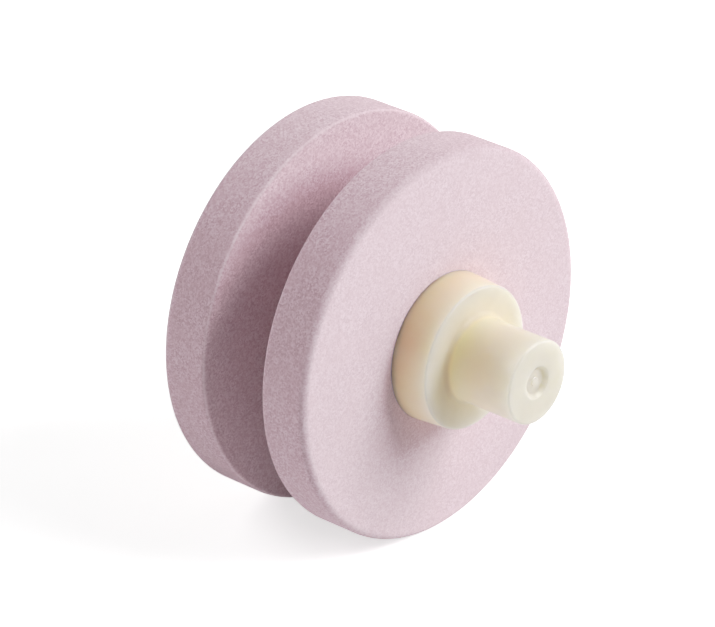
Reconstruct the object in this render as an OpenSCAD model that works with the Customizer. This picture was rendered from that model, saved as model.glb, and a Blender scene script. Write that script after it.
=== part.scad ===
// Twin-disc sharpening wheel: two ceramic discs on a plastic core, turning on
// a plastic axle whose two journals rest in a holder.
//
// The wheel's centre is the origin. The axle lies along Y with its closed,
// one-piece end at -Y (near) and its pressed-on cap at +Y (far). +Z is up.

/* [Discs] */
// Diameter of each ceramic disc
disc_d = 32; // [28:0.5:40]
// Thickness of each disc
disc_t = 4.35; // [3.5:0.05:6]
// Gap between the two discs, which takes the blade
disc_gap = 5.9; // [4:0.1:8]
// Radius of the rim edge on a disc's outer face
outer_edge_r = 0.6; // [0.4:0.05:1.4]
// Radius of the rim edge on a disc's inner face, beside the gap
inner_edge_r = 0.35; // [0.2:0.05:0.8]
// Bore of each disc, pressed on the core
disc_bore_d = 9; // [8.5:0.1:10]
// Chamfer at each end of a disc's bore
bore_chamfer = 0.3; // [0.1:0.05:0.5]

/* [Core] */
// Diameter of the core's flange, which spaces the discs
flange_d = 12; // [11:0.5:16]
// Round on the flange's edges
flange_edge_r = 0.2; // [0.1:0.05:0.4]
// How far each end of the core stands out of its disc
core_proud = 0.02; // [0.01:0.01:0.3]

/* [Axle] */
// Diameter of the shaft inside the core
shaft_d = 6; // [5:0.1:6.4]
// Radial running clearance between shaft and core
running_gap = 0.05; // [0.02:0.01:0.1]
// Axial clearance between each collar and the core
end_float = 0.05; // [0.03:0.01:0.1]
// Collar diameter at its foot, beside the disc
collar_foot_d = 12.1; // [11:0.1:14]
// Collar diameter at its front face
collar_face_d = 11.65; // [10:0.05:12]
// Collar length along the axle
collar_l = 3.2; // [2:0.1:5]
// Round on the collar's front edge
collar_edge_r = 0.22; // [0.1:0.02:0.4]
// Journal diameter
journal_d = 6.8; // [6:0.1:8]
// Journal length beyond the collar
journal_l = 6.2; // [4:0.1:8]
// Round on the journal's end
journal_edge_r = 0.2; // [0.1:0.05:0.4]
// Fillet where the journal meets the collar
journal_root_r = 0.5; // [0.2:0.05:0.8]

/* [Gate dimple] */
// Diameter of the dimple in each journal's end
dimple_d = 2.7; // [2:0.1:3.5]
// Depth of the dimple
dimple_depth = 0.35; // [0.2:0.05:0.6]
// Diameter of the moulding gate's stub in the dimple
gate_d = 0.7; // [0.4:0.1:1]
// Height of the gate's stub above the dimple's floor
gate_h = 0.12; // [0.05:0.01:0.2]

/* [Press joint] */
// Diameter of the spigot that the end cap is pressed on
spigot_d = 4.4; // [3.5:0.1:4.8]
// Length of the spigot
spigot_l = 7; // [5:0.5:8]
// Lead-in chamfer on the spigot and its socket
lead_in = 0.35; // [0.2:0.05:0.5]
// Space left below the spigot at the bottom of its socket
socket_spare = 0.3; // [0.1:0.1:0.6]

/* [Hidden] */

// Sides round the axis
$fn = 96;
// Points on a quarter round
round_steps = 8;

// Stations along the axle, measured out from the wheel's centre
disc_in = disc_gap / 2;
disc_out = disc_in + disc_t;
core_end = disc_out + core_proud;
collar_in = core_end + end_float;
collar_out = collar_in + collar_l;
journal_end = collar_out + journal_l;
dimple_floor = journal_end - dimple_depth;
spigot_end = collar_in + spigot_l;
socket_floor = spigot_end + socket_spare;

core_bore_r = shaft_d / 2 + running_gap;
// The dimple's wall slopes in by as much as the dimple is deep
dimple_floor_r = dimple_d / 2 - dimple_depth;
// Side of the collar, leaning in from foot to front face
collar_lean = atan2((collar_foot_d - collar_face_d) / 2, collar_l);

plastic = [0.90, 0.86, 0.76];
ceramic = [0.88, 0.80, 0.82];

// Points of an arc about centre c, from angle a0 to angle a1 in degrees
function arc(c, r, a0, a1) = [
    for (i = [0:round_steps])
        let (a = a0 + (a1 - a0) * i / round_steps)
            c + r * [cos(a), sin(a)]
];

// Turns an outline of [radius, distance towards the near end] about the axle
module turned(outline) {
    rotate([90, 0, 0])
        rotate_extrude()
            polygon(outline);
}

// Puts a piece drawn for the near end on the far end
module far_side() {
    mirror([0, 1, 0])
        children();
}

// One disc, at the near end: rounded rim edges and a chamfered bore
module disc() {
    r = disc_d / 2;
    bore_r = disc_bore_d / 2;
    turned(concat(
        [[bore_r + bore_chamfer, disc_in]],
        arc([r - inner_edge_r, disc_in + inner_edge_r], inner_edge_r, -90, 0),
        arc([r - outer_edge_r, disc_out - outer_edge_r], outer_edge_r, 0, 90),
        [
            [bore_r + bore_chamfer, disc_out],
            [bore_r, disc_out - bore_chamfer],
            [bore_r, disc_in + bore_chamfer]
        ]
    ));
}

module near_disc() {
    color(ceramic)
        disc();
}

module far_disc() {
    color(ceramic)
        far_side()
            disc();
}

// Sleeve with a middle flange: a disc is pressed on each end
module hub_core() {
    flange_r = flange_d / 2;
    seat_r = disc_bore_d / 2;
    e = flange_edge_r;
    color(plastic)
        turned(concat(
            [[core_bore_r, -core_end], [seat_r, -core_end], [seat_r, -disc_in]],
            arc([flange_r - e, e - disc_in], e, -90, 0),
            arc([flange_r - e, disc_in - e], e, 0, 90),
            [[seat_r, disc_in], [seat_r, core_end], [core_bore_r, core_end]]
        ));
}

// Outline of a collar and its journal, from the collar's foot to the dimple
function collar_and_journal() = let (
    // centre of the round on the collar's front edge, touching the leaning side
    round_s = collar_out - collar_edge_r,
    side_r = collar_foot_d / 2 - (round_s - collar_in) * tan(collar_lean),
    round_c = [side_r - collar_edge_r / cos(collar_lean), round_s],
    root_c = [journal_d / 2 + journal_root_r, collar_out + journal_root_r],
    end_c = [journal_d / 2 - journal_edge_r, journal_end - journal_edge_r]
) concat(
    [[collar_foot_d / 2, collar_in]],
    arc(round_c, collar_edge_r, collar_lean, 90),
    arc(root_c, journal_root_r, 270, 180),
    arc(end_c, journal_edge_r, 0, 90),
    [
        [dimple_d / 2, journal_end],
        [dimple_floor_r, dimple_floor],
        [gate_d / 2, dimple_floor],
        [gate_d / 2, dimple_floor + gate_h],
        [0, dimple_floor + gate_h]
    ]
);

// Near journal and collar in one piece with the shaft and the far spigot
module axle() {
    shaft_r = shaft_d / 2;
    spigot_r = spigot_d / 2;
    color(plastic)
        turned(concat(
            [
                [0, -spigot_end],
                [spigot_r - lead_in, -spigot_end],
                [spigot_r, lead_in - spigot_end],
                [spigot_r, -collar_in],
                [shaft_r, -collar_in],
                [shaft_r, collar_in]
            ],
            collar_and_journal()
        ));
}

// Far collar and journal, with a blind socket for the axle's spigot
module end_cap() {
    socket_r = spigot_d / 2;
    color(plastic)
        far_side()
            turned(concat(
                [
                    [0, socket_floor],
                    [socket_r, socket_floor],
                    [socket_r, collar_in + lead_in],
                    [socket_r + lead_in, collar_in]
                ],
                collar_and_journal()
            ));
}

near_disc();
far_disc();
hub_core();
axle();
end_cap();
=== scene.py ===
"""Looks of the twin-disc sharpening wheel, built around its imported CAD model.

Metres throughout. The axle lies along Y, with its one-piece end at -Y, and the
discs stand on the floor. Every piece is a body of revolution, so each is turned
from an outline of (radius, y) points whose lengths come from the CAD nodes.
"""

import math

import bpy
import numpy as np
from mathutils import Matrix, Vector, noise


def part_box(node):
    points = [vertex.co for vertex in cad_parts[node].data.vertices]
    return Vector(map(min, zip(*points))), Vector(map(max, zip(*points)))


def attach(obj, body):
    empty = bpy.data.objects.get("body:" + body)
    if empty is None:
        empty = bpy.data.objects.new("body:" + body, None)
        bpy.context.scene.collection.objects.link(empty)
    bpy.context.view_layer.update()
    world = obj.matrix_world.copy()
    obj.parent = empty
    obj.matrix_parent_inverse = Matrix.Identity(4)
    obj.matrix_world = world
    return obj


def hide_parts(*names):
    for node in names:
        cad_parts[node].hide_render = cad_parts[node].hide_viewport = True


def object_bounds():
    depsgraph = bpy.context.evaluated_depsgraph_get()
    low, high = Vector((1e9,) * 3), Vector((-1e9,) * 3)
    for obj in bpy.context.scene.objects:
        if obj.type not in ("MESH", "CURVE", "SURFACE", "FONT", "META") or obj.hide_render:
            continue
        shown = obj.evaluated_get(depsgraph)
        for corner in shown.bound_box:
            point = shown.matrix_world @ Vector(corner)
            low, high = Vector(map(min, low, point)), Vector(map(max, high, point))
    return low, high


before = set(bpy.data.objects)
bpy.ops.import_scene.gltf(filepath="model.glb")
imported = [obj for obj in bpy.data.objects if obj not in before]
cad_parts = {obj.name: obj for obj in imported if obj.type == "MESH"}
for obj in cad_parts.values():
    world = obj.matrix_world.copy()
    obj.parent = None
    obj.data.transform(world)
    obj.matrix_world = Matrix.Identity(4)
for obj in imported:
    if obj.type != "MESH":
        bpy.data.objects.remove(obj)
cad_low, cad_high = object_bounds()

MM = 0.001

# Rounds and small features, finer than the CAD nodes' vertices show
OUTER_EDGE_ROUND = 0.6 * MM
INNER_EDGE_ROUND = 0.35 * MM
BORE_CHAMFER = 0.3 * MM
FLANGE_ROUND = 0.2 * MM
SEAT_ROUND = 0.08 * MM
COLLAR_FOOT_ROUND = 0.03 * MM
COLLAR_TAPER = 0.225 * MM
COLLAR_ROUND = 0.22 * MM
JOURNAL_ROOT = 0.5 * MM
JOURNAL_ROUND = 0.2 * MM
DIMPLE_DEPTH = 0.35 * MM
DIMPLE_LIP = 0.12 * MM
DIMPLE_FLOOR_ROUND = 0.25 * MM
GATE_R = 0.35 * MM
GATE_HEIGHT = 0.12 * MM
GATE_ROUND = 0.05 * MM
LEAD_IN = 0.35 * MM
SOCKET_SPARE = 0.3 * MM

# Play between the core's ends and the collars, smaller than the CAD model's so that no dark
# line shows beside a collar
COLLAR_FLOAT = 0.015 * MM

# Fineness of the turned meshes
DISC_SIDES = 640
HUB_SIDES = 256
DISC_STEP = 0.25 * MM
HUB_STEP = 0.3 * MM
ROUND_STEPS = 8

# Unevenness left in the ceramic by pressing and firing
WARP_SIZE = 3.0 * MM
WARP_HEIGHT = 0.008 * MM
RIPPLE_SIZE = 0.7 * MM
RIPPLE_HEIGHT = 0.0025 * MM

# Grain of the ceramic, and the clouds and skin of the plastic
GRAIN_SIZE = 0.13 * MM
FINE_GRAIN_SIZE = 0.08 * MM
GRAIN_RELIEF = 0.035 * MM
MOTTLE_SIZE = 2.5 * MM
MOTTLE_SHARE = 0.35
CLOUD_SIZE = 1.8 * MM
CLOUD_SHARE = 0.12
SKIN_SIZE = 0.08 * MM
SKIN_RELIEF = 0.0015 * MM
WAVE_SIZE = 0.9 * MM
WAVE_RELIEF = 0.004 * MM
COLLAR_SCATTER = 2.0 * MM
JOURNAL_SCATTER = 3.2 * MM

# Where a surface counts as a flat and where as a side: how much its normal lies along the axle
CERAMIC_TURN = (0.9, 0.4)
PLASTIC_TURN = (0.65, 0.15)

# Tones of the ceramic: pale and calm ground outer faces; a darker, pinker tint on the rims and gap faces,
# which is painted shade for the light bounced between the discs; and a pale band on the rims' edges
# beside the gap, which is a painted highlight
CERAMIC_PALE = (232, 218, 224)
CERAMIC_DEEP = (191, 161, 172)
CERAMIC_MOTTLE = (213, 191, 198)
EDGE_HIGHLIGHT_TONE = (243, 229, 234)
GAP_SHADE_TINT = (1.0, 0.94, 0.952, 1.0)
GROUND_CALM = 0.2
EDGE_HIGHLIGHT_REACH = (0.22 * MM, 0.12 * MM)
EDGE_HIGHLIGHT_SHARE = 0.4

# Tones of the plastic: on the core, along the collar's side and the journal, across the
# collar's front, on the journal's end face, and in the milky clouds. The collar's foot, the journal's
# root and the collar's front hold painted shade, the root also a painted golden glow, and the flat
# faces are painted darker than the sides to even out how the light falls
CORE_TONE = (0.94, 0.83, 0.66, 1.0)
COLLAR_FOOT_SHADE_TONE = (0.95, 0.64, 0.34, 1.0)
COLLAR_EDGE_TONE = (0.97, 0.82, 0.67, 1.0)
JOURNAL_ROOT_SHADE_TONE = (1.0, 0.83, 0.56, 1.0)
JOURNAL_END_TONE = (0.8, 0.74, 0.64, 1.0)
FRONT_ROOT_SHADE_TONE = (0.76, 0.66, 0.46, 1.0)
FRONT_FLAT_SHADE_TONE = (0.55, 0.515, 0.45, 1.0)
END_FACE_SHADE_TONE = (0.61, 0.57, 0.48, 1.0)
CLOUD_TONE = (1.0, 0.956, 0.84, 1.0)
WHITE = (1.0, 1.0, 1.0, 1.0)

# The camera, and the point that it aims at beside the near disc's centre
CAMERA_AZIMUTH = -48.4
CAMERA_ELEVATION = 26.8
CAMERA_DISTANCE = 363 * MM
CAMERA_LENS = 237
CAMERA_SENSOR = 36
AIM_LEFT = 6.58 * MM
AIM_UP = 2.43 * MM

# The studio: softboxes (azimuth, elevation, power in watts) on a sphere round the object, a
# matt floor and a bright backdrop
SOFTBOXES = {
    "key": (30, 36, 3.6),
    "fill_right": (60, 10, 1.05),
    "fill_left": (-90, 10, 0.28),
    "fill_back": (216, 45, 1.62),
    "fill_far": (180, 8, 0.9),
}
SOFTBOX_DISTANCE = 500 * MM
SOFTBOX_WIDTH = 300 * MM
FLOOR_HALF = 3.0
BACKDROP = 1.4
FLOOR_LIFT = 0.75
FADE_START = 60 * MM
FADE_END = 250 * MM

# The camera's response: scene light that turns white, and points of the shoulder below it
WHITE_POINT = 1.35
SHOULDER = [(0.3, 0.3), (0.5, 0.49), (0.8, 0.69)]


# ---------------------------------------------------------------- sizes


def radii_near(node, y, reach=0.02 * MM):
    """Smallest and largest radius of a CAD node's vertices around station y."""
    found = [
        math.hypot(v.co.x, v.co.z)
        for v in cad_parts[node].data.vertices
        if abs(v.co.y - y) < reach
    ]
    return min(found), max(found)


def end_of_wide_part(node, radius):
    """Largest y at which a CAD node is still wider than a radius."""
    return max(
        v.co.y
        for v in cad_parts[node].data.vertices
        if math.hypot(v.co.x, v.co.z) > radius
    )


def measure():
    """Stations and radii that the outlines share, from the CAD nodes of the +Y half.

    The journal's radius is read a little way in from its end, past the end's round, and the
    collar's face is where the cap stops being clearly wider than the journal.
    """
    disc_low, disc_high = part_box("far_disc")
    core_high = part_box("hub_core")[1]
    cap_low, cap_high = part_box("end_cap")
    foot = cap_low.y
    end = cap_high.y
    journal_r = radii_near("end_cap", end, 1.5 * JOURNAL_ROUND)[1]
    return {
        "disc_r": disc_high.x,
        "disc_in": disc_low.y,
        "disc_out": disc_high.y,
        "core_r": core_high.x,
        "core_end": core_high.y,
        "bore_r": radii_near("hub_core", core_high.y)[1],
        "core_bore_r": radii_near("hub_core", core_high.y)[0],
        "collar_foot": core_high.y + COLLAR_FLOAT,
        "collar_foot_r": cap_high.x,
        "collar_face": end_of_wide_part("end_cap", 1.3 * journal_r),
        "journal_r": journal_r,
        "journal_end": end,
        "dimple_r": radii_near("end_cap", end)[0],
        "shaft_r": radii_near("axle", foot)[1],
        "spigot_r": radii_near("axle", foot)[0],
        "spigot_end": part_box("axle")[1].y,
    }


size = measure()


# ---------------------------------------------------------------- outlines


def rounded_corner(before, corner, after, radius):
    """Points of the arc that rounds a corner, touching both of its sides."""
    to_before = (before - corner).normalized()
    to_after = (after - corner).normalized()
    half = to_before.angle(to_after) / 2
    reach = radius / math.tan(half)
    centre = corner + (to_before + to_after).normalized() * radius / math.sin(half)
    start = corner + to_before * reach - centre
    end = corner + to_after * reach - centre
    turn = start.angle(end)
    points = []
    for i in range(ROUND_STEPS + 1):
        t = i / ROUND_STEPS
        share_start = math.sin((1 - t) * turn) / math.sin(turn)
        share_end = math.sin(t * turn) / math.sin(turn)
        points.append(centre + start * share_start + end * share_end)
    return points


def outline(corners, step, closed):
    """Points (radius, y) through corners given as (radius, y, round), at most step apart."""
    places = [Vector((r, y)) for r, y, _ in corners]
    count = len(corners)
    rough = []
    for i, (_, _, radius) in enumerate(corners):
        if radius > 0:
            rough += rounded_corner(places[i - 1], places[i], places[(i + 1) % count], radius)
        else:
            rough.append(places[i])
    ends = rough[1:] + rough[:1] if closed else rough[1:]
    fine = []
    for a, b in zip(rough, ends):
        parts = max(1, math.ceil((b - a).length / step))
        fine += [a.lerp(b, i / parts) for i in range(parts)]
    if not closed:
        fine.append(rough[-1])
    return fine


def collar_and_journal():
    """Corners of the +Y end that shows, from the collar's foot to the axis."""
    foot_r, face_r = size["collar_foot_r"], size["collar_foot_r"] - COLLAR_TAPER
    face, end = size["collar_face"], size["journal_end"]
    dimple_floor = end - DIMPLE_DEPTH
    return [
        (foot_r, size["collar_foot"], COLLAR_FOOT_ROUND),
        (face_r, face, COLLAR_ROUND),
        (size["journal_r"], face, JOURNAL_ROOT),
        (size["journal_r"], end, JOURNAL_ROUND),
        (size["dimple_r"], end, DIMPLE_LIP),
        (size["dimple_r"] - DIMPLE_DEPTH, dimple_floor, DIMPLE_FLOOR_ROUND),
        (GATE_R, dimple_floor, GATE_ROUND),
        (GATE_R, dimple_floor + GATE_HEIGHT, GATE_ROUND),
        (0, dimple_floor + GATE_HEIGHT, 0),
    ]


def mirrored(corners):
    """The same corners at the -Y end, in the opposite order."""
    return [(r, -y, radius) for r, y, radius in reversed(corners)]


# ---------------------------------------------------------------- meshes


def turned(name, points, sides, closed, shift=None):
    """A mesh made by turning an outline about Y; points on the axis become one vertex."""
    angles = np.arange(sides) * (2 * math.pi / sides)
    ring = np.stack([np.sin(angles), np.zeros(sides), np.cos(angles)], axis=1)
    along = np.array([0.0, 1.0, 0.0])
    blocks = []
    starts = []
    total = 0
    for r, y in points:
        block = (ring * r if r > 0 else np.zeros((1, 3))) + along * y
        blocks.append(block)
        starts.append(total)
        total += len(block)
    vertices = np.concatenate(blocks)
    faces = []
    rows = range(len(points)) if closed else range(len(points) - 1)
    for i in rows:
        j = (i + 1) % len(points)
        for k in range(sides):
            n = (k + 1) % sides
            a = [starts[i] + k, starts[i] + n] if points[i][0] > 0 else [starts[i]]
            b = [starts[j] + n, starts[j] + k] if points[j][0] > 0 else [starts[j]]
            if len(a) + len(b) > 2:
                faces.append(a + b)
    mesh = bpy.data.meshes.new(name)
    mesh.from_pydata(vertices.tolist(), [], faces)
    mesh.update()
    if shift is not None:
        shift(mesh)
    mesh.shade_smooth()
    piece = bpy.data.objects.new(name, mesh)
    bpy.context.scene.collection.objects.link(piece)
    return piece


def uneven(mesh):
    """Moves the ceramic's surface by a few microns, as pressing and firing leave it."""
    normals = [v.normal.copy() for v in mesh.vertices]
    for vertex, normal in zip(mesh.vertices, normals):
        warp = noise.noise(vertex.co / WARP_SIZE) * WARP_HEIGHT
        ripple = noise.noise(vertex.co / RIPPLE_SIZE) * RIPPLE_HEIGHT
        vertex.co += normal * (warp + ripple)
    mesh.update()


def install(piece, node, body, material):
    """Puts a finished piece in the place of its CAD node."""
    piece.data.materials.append(material)
    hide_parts(node)
    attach(piece, body)


# ---------------------------------------------------------------- materials


def linear(red, green, blue):
    """Linear colour of 8-bit screen values."""
    values = [c / 255 for c in (red, green, blue)]
    return [((c + 0.055) / 1.055) ** 2.4 if c > 0.04045 else c / 12.92 for c in values] + [1.0]


class Graph:
    """A material's nodes: each call adds one and wires its inputs."""

    def __init__(self, name):
        self.material = bpy.data.materials.new(name)
        self.material.use_nodes = True
        self.tree = self.material.node_tree
        self.tree.nodes.clear()

    def add(self, kind, inputs=None, **settings):
        node = self.tree.nodes.new(kind)
        for key, value in settings.items():
            setattr(node, key, value)
        for key, value in (inputs or {}).items():
            if isinstance(value, bpy.types.NodeSocket):
                self.tree.links.new(value, node.inputs[key])
            else:
                node.inputs[key].default_value = value
        return node

    def math(self, operation, a, b):
        return self.add("ShaderNodeMath", {0: a, 1: b}, operation=operation).outputs[0]

    def along_axle(self, vector):
        """Length of a vector's part along the axle."""
        parts = self.add("ShaderNodeSeparateXYZ", {"Vector": vector})
        return self.math("ABSOLUTE", parts.outputs["Y"], 0.0)

    def off_axle(self, vector):
        """Length of a vector's part across the axle."""
        across = self.add("ShaderNodeVectorMath", {0: vector, 1: (1.0, 0.0, 1.0)}, operation="MULTIPLY")
        length = self.add("ShaderNodeVectorMath", {0: across.outputs["Vector"]}, operation="LENGTH")
        return length.outputs["Value"]

    def noise(self, spot, grain, detail=2.0, roughness=0.5):
        """Soft noise whose features are about grain metres across, from 0 to 1."""
        inputs = {"Vector": spot, "Scale": 1 / grain, "Detail": detail, "Roughness": roughness}
        return self.add("ShaderNodeTexNoise", inputs).outputs["Fac"]

    def spread(self, value, low, high, out_low=0.0, out_high=1.0):
        """value from low..high to out_low..out_high, clamped."""
        inputs = {"Value": value, "From Min": low, "From Max": high, "To Min": out_low, "To Max": out_high}
        return self.add("ShaderNodeMapRange", inputs, clamp=True).outputs["Result"]

    def mix(self, share, a, b, blend="MIX"):
        """Colours a and b blended by share; the node takes its colours at inputs 6 and 7."""
        node = self.add("ShaderNodeMix", data_type="RGBA", blend_type=blend, clamp_factor=True)
        for socket, value in zip((node.inputs[0], node.inputs[6], node.inputs[7]), (share, a, b)):
            if isinstance(value, bpy.types.NodeSocket):
                self.tree.links.new(value, socket)
            else:
                socket.default_value = value
        return node.outputs[2]

    def bump(self, height, distance, strength=1.0, normal=None):
        inputs = {"Height": height, "Distance": distance, "Strength": strength}
        if normal is not None:
            inputs["Normal"] = normal
        return self.add("ShaderNodeBump", inputs).outputs["Normal"]

    def surface(self, shader_output):
        out = self.add("ShaderNodeOutputMaterial")
        self.tree.links.new(shader_output, out.inputs["Surface"])
        return self.material


def ceramic_colour(g, spot, ground, speck):
    """Tone of the ceramic: speckled and mottled, calmer on the ground outer faces, with painted shade on
    the rims and gap faces and a painted highlight along the edges beside the gap.
    """
    calm = g.math("MULTIPLY", ground, GROUND_CALM)
    tone = g.spread(speck, 0.3, 1.1, calm, g.math("SUBTRACT", 1.0, calm))
    speckled = g.mix(tone, linear(*CERAMIC_DEEP), linear(*CERAMIC_PALE))
    mottle = g.spread(g.noise(spot, MOTTLE_SIZE, detail=3.0), 0.35, 0.65, 0.0, MOTTLE_SHARE)
    mottled = g.mix(mottle, speckled, linear(*CERAMIC_MOTTLE))
    # Painted shade: everything but the ground outer faces is multiplied by a darker, pinker tint
    gap_shaded = g.mix(1.0, mottled, g.mix(ground, GAP_SHADE_TINT, WHITE), "MULTIPLY")
    # Painted highlight: a pale band along each disc's edge between its rim and its face beside the gap
    from_gap = g.math("SUBTRACT", g.along_axle(spot), size["disc_in"])
    from_rim = g.math("SUBTRACT", size["disc_r"], g.off_axle(spot))
    edge_highlight = g.math("MULTIPLY", g.spread(from_gap, *EDGE_HIGHLIGHT_REACH), g.spread(from_rim, *EDGE_HIGHLIGHT_REACH))
    return g.mix(g.math("MULTIPLY", edge_highlight, EDGE_HIGHLIGHT_SHARE), gap_shaded, linear(*EDGE_HIGHLIGHT_TONE))


def ceramic_material():
    """Pink fired abrasive: pale grains in a darker bond, rougher on the rims than on the faces."""
    g = Graph("pink_ceramic")
    coords = g.add("ShaderNodeTexCoord")
    spot = coords.outputs["Object"]
    ground = g.spread(g.along_axle(spot), size["disc_out"] - OUTER_EDGE_ROUND, size["disc_out"])
    cells = g.add("ShaderNodeTexVoronoi", {"Vector": spot, "Scale": 1 / GRAIN_SIZE})
    grain = g.add("ShaderNodeSeparateColor", {"Color": cells.outputs["Color"]}).outputs["Red"]
    fine = g.noise(spot, FINE_GRAIN_SIZE, detail=3.0, roughness=0.7)
    speck = g.math("ADD", g.math("MULTIPLY", grain, 0.6), g.math("MULTIPLY", fine, 0.8))
    height = g.math("ADD", g.math("MULTIPLY", grain, 0.5), fine)
    relief = g.spread(g.along_axle(coords.outputs["Normal"]), *CERAMIC_TURN, 0.5, 1.0)
    shader = g.add(
        "ShaderNodeBsdfPrincipled",
        {
            "Base Color": ceramic_colour(g, spot, ground, speck),
            "Roughness": 0.9,
            "Diffuse Roughness": 0.6,
            "Specular IOR Level": 0.2,
            "Normal": g.bump(height, GRAIN_RELIEF, relief),
        },
    )
    return g.surface(shader.outputs["BSDF"])


def plastic_colour(g, coords, past_collar):
    """Tone of the plastic, with painted shade: darker orange at the collar's foot, golden painted shade
    and glow where the journal meets the collar, and flat faces darker than the sides.
    """
    spot = coords.outputs["Object"]
    station = g.along_axle(spot)
    along_collar = g.spread(station, size["collar_foot"], size["collar_face"])
    along_journal = g.spread(station, size["collar_face"], size["journal_end"])
    # Painted shade: the collar's side darkens to orange towards its foot beside the disc
    collar = g.mix(along_collar, COLLAR_FOOT_SHADE_TONE, COLLAR_EDGE_TONE)
    # Painted shade and glow: the journal is golden at its root, fading towards its end
    journal = g.mix(along_journal, JOURNAL_ROOT_SHADE_TONE, JOURNAL_END_TONE)
    beyond_disc = g.spread(station, size["disc_out"], size["collar_foot"])
    sides = g.mix(beyond_disc, CORE_TONE, g.mix(past_collar, collar, journal))
    # Painted shade: the collar's front is darker and golden near the journal's root
    from_root = g.spread(g.off_axle(spot), size["journal_r"], size["collar_foot_r"])
    shaded_front = g.mix(from_root, FRONT_ROOT_SHADE_TONE, FRONT_FLAT_SHADE_TONE)
    # Painted shade: the flat faces are darker than the sides, which evens out how the light falls
    shaded_flats = g.mix(along_journal, shaded_front, END_FACE_SHADE_TONE)
    on_side = g.spread(g.along_axle(coords.outputs["Normal"]), *PLASTIC_TURN)
    cloud = g.spread(g.noise(spot, CLOUD_SIZE, detail=3.0), 0.3, 0.7, 0.0, CLOUD_SHARE)
    return g.mix(cloud, g.mix(on_side, shaded_flats, sides), CLOUD_TONE)


def plastic_material():
    """Milky moulding plastic with a satin skin; light goes deeper into the journal than the collar."""
    g = Graph("ivory_plastic")
    coords = g.add("ShaderNodeTexCoord")
    spot = coords.outputs["Object"]
    past_collar = g.spread(g.along_axle(spot), size["collar_face"] - COLLAR_ROUND, size["collar_face"])
    skin = g.noise(spot, SKIN_SIZE)
    wave = g.noise(spot, WAVE_SIZE)
    normal = g.bump(wave, WAVE_RELIEF, 0.6, g.bump(skin, SKIN_RELIEF, 0.6))
    shader = g.add(
        "ShaderNodeBsdfPrincipled",
        {
            "Base Color": plastic_colour(g, coords, past_collar),
            "Roughness": g.spread(skin, 0.2, 0.8, 0.5, 0.6),
            "IOR": 1.5,
            "Specular IOR Level": 0.3,
            "Transmission Weight": 0.15,
            "Coat Weight": 0.3,
            "Coat Roughness": 0.1,
            "Subsurface Weight": 1.0,
            "Subsurface Radius": (1.0, 1.0, 0.78),
            "Subsurface Scale": g.spread(past_collar, 0.0, 1.0, COLLAR_SCATTER, JOURNAL_SCATTER),
            "Normal": normal,
        },
    )
    return g.surface(shader.outputs["BSDF"])


def floor_material():
    """Matt white studio floor that fades into the backdrop; only the camera sees it glow."""
    g = Graph("studio_floor")
    seen = g.add("ShaderNodeLightPath").outputs["Is Camera Ray"]
    spot = g.add("ShaderNodeTexCoord").outputs["Object"]
    distance = g.add("ShaderNodeVectorMath", {0: spot}, operation="LENGTH").outputs["Value"]
    glow = g.spread(distance, FADE_START, FADE_END, FLOOR_LIFT, BACKDROP)
    shader = g.add(
        "ShaderNodeBsdfPrincipled",
        {
            "Base Color": linear(238, 238, 238),
            "Roughness": 0.9,
            "Emission Color": WHITE,
            "Emission Strength": g.math("MULTIPLY", seen, glow),
        },
    )
    return g.surface(shader.outputs["BSDF"])


# ---------------------------------------------------------------- pieces


def build_disc(name, node, near, material):
    """A ceramic disc: its outer edge is well rounded, its edge beside the gap is crisper."""
    bore, rim = size["bore_r"], size["disc_r"]
    inner, outer = size["disc_in"], size["disc_out"]
    corners = [
        (bore + BORE_CHAMFER, outer, 0),
        (bore, outer - BORE_CHAMFER, 0),
        (bore, inner + BORE_CHAMFER, 0),
        (bore + BORE_CHAMFER, inner, 0),
        (rim, inner, INNER_EDGE_ROUND),
        (rim, outer, OUTER_EDGE_ROUND),
    ]
    if near:
        corners = mirrored(corners)
    piece = turned(name, outline(corners, DISC_STEP, True), DISC_SIDES, True, uneven)
    install(piece, node, "wheel_pair", material)


def build_core(material):
    """The sleeve between the discs, with its flange."""
    bore, seat, flange = size["core_bore_r"], size["bore_r"], size["core_r"]
    inner, end = size["disc_in"], size["core_end"]
    corners = [
        (bore, -end, SEAT_ROUND),
        (seat, -end, SEAT_ROUND),
        (seat, -inner, 0),
        (flange, -inner, FLANGE_ROUND),
        (flange, inner, FLANGE_ROUND),
        (seat, inner, 0),
        (seat, end, SEAT_ROUND),
        (bore, end, SEAT_ROUND),
    ]
    piece = turned("hub_sleeve", outline(corners, HUB_STEP, True), HUB_SIDES, True)
    install(piece, "hub_core", "wheel_pair", material)


def build_axle(material):
    """Near journal and collar, with the shaft and the spigot behind them."""
    spigot, shaft = size["spigot_r"], size["shaft_r"]
    end, shoulder = size["spigot_end"], size["collar_foot"]
    corners = mirrored(collar_and_journal()) + [
        (shaft, -shoulder, 0),
        (shaft, shoulder, 0),
        (spigot, shoulder, 0),
        (spigot, end - LEAD_IN, 0),
        (spigot - LEAD_IN, end, 0),
        (0, end, 0),
    ]
    piece = turned("axle_moulding", outline(corners, HUB_STEP, False), HUB_SIDES, False)
    install(piece, "axle", "axle", material)


def build_cap(material):
    """Far collar and journal, with the socket that takes the spigot."""
    socket, floor, foot = size["spigot_r"], size["spigot_end"] + SOCKET_SPARE, size["collar_foot"]
    corners = [
        (0, floor, 0),
        (socket, floor, 0),
        (socket, foot + LEAD_IN, 0),
        (socket + LEAD_IN, foot, 0),
    ] + collar_and_journal()
    piece = turned("cap_moulding", outline(corners, HUB_STEP, False), HUB_SIDES, False)
    install(piece, "end_cap", "axle", material)


# ---------------------------------------------------------------- stage


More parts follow.
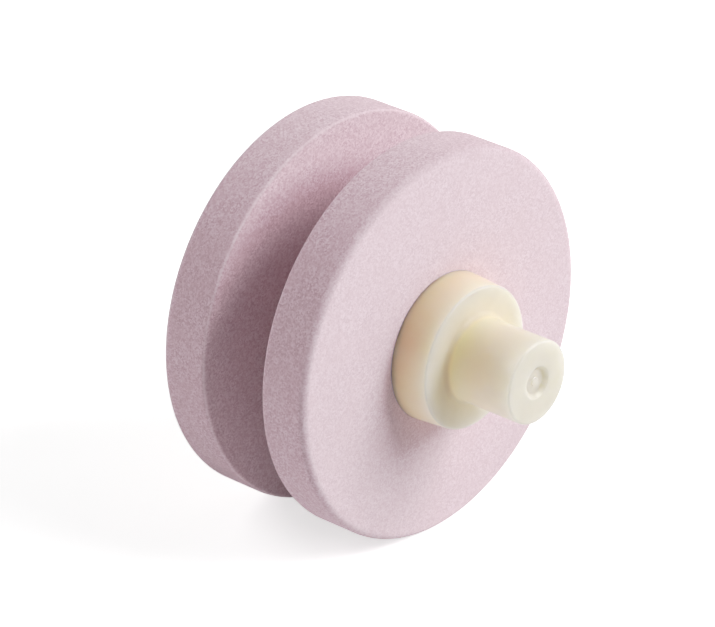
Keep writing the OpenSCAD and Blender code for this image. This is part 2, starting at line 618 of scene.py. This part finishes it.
def add_floor(material):
    """Plain pale floor that the discs stand on."""
    z = cad_low.z
    corners = [(-1, -1), (1, -1), (1, 1), (-1, 1)]
    mesh = bpy.data.meshes.new("floor")
    mesh.from_pydata([(x * FLOOR_HALF, y * FLOOR_HALF, z) for x, y in corners], [], [(0, 1, 2, 3)])
    mesh.materials.append(material)
    floor = bpy.data.objects.new("floor", mesh)
    bpy.context.scene.collection.objects.link(floor)


def direction(azimuth, elevation):
    """Unit vector from the object towards a place; azimuth 0 is at -Y, 90 at +X."""
    a, e = math.radians(azimuth), math.radians(elevation)
    return Vector((math.sin(a) * math.cos(e), -math.cos(a) * math.cos(e), math.sin(e)))


def place(item, location, facing):
    """Puts a lamp or camera in the scene, looking along facing."""
    item.location = location
    item.rotation_mode = "QUATERNION"
    item.rotation_quaternion = facing.to_track_quat("-Z", "Y")
    bpy.context.scene.collection.objects.link(item)


def add_softbox(name, azimuth, elevation, power):
    """Square area light that faces the object, unseen by the camera."""
    light = bpy.data.lights.new(name, "AREA")
    light.shape = "SQUARE"
    light.size = SOFTBOX_WIDTH
    light.energy = power
    lamp = bpy.data.objects.new(name, light)
    lamp.visible_camera = False
    towards = direction(azimuth, elevation)
    place(lamp, towards * SOFTBOX_DISTANCE, -towards)


def add_world():
    """A bright backdrop above the floor's edge, which only the camera sees."""
    world = bpy.data.worlds.new("studio")
    world.use_nodes = True
    tree = world.node_tree
    seen = tree.nodes.new("ShaderNodeLightPath")
    strength = tree.nodes.new("ShaderNodeMath")
    strength.operation = "MULTIPLY"
    strength.inputs[1].default_value = BACKDROP
    tree.links.new(seen.outputs["Is Camera Ray"], strength.inputs[0])
    background = tree.nodes["Background"]
    background.inputs["Color"].default_value = WHITE
    tree.links.new(strength.outputs["Value"], background.inputs["Strength"])
    bpy.context.scene.world = world


def add_camera():
    """Long lens on the near, left and upper side."""
    back = direction(CAMERA_AZIMUTH, CAMERA_ELEVATION)
    right = Vector((0, 0, 1)).cross(back).normalized()
    up = back.cross(right)
    near_face = Vector((0, -size["disc_out"], 0))
    camera = bpy.data.cameras.new("camera")
    camera.lens = CAMERA_LENS
    camera.sensor_width = CAMERA_SENSOR
    camera.clip_start = 10 * MM
    eye = bpy.data.objects.new("camera", camera)
    place(eye, near_face - right * AIM_LEFT + up * AIM_UP + back * CAMERA_DISTANCE, -back)
    bpy.context.scene.camera = eye


def set_response():
    """A camera's response: straight in the shadows, with a soft shoulder up to white."""
    view = bpy.context.scene.view_settings
    view.view_transform = "Standard"
    view.use_curve_mapping = True
    mapping = view.curve_mapping
    mapping.white_level = (WHITE_POINT, WHITE_POINT, WHITE_POINT)
    combined = mapping.curves[3]
    for light, shown in SHOULDER:
        combined.points.new(light / WHITE_POINT, shown)
    mapping.update()


ceramic = ceramic_material()
plastic = plastic_material()
build_disc("near_stone", "near_disc", True, ceramic)
build_disc("far_stone", "far_disc", False, ceramic)
build_core(plastic)
build_axle(plastic)
build_cap(plastic)

add_floor(floor_material())
for softbox, (azimuth, elevation, power) in SOFTBOXES.items():
    add_softbox(softbox, azimuth, elevation, power)
add_world()
add_camera()
set_response()
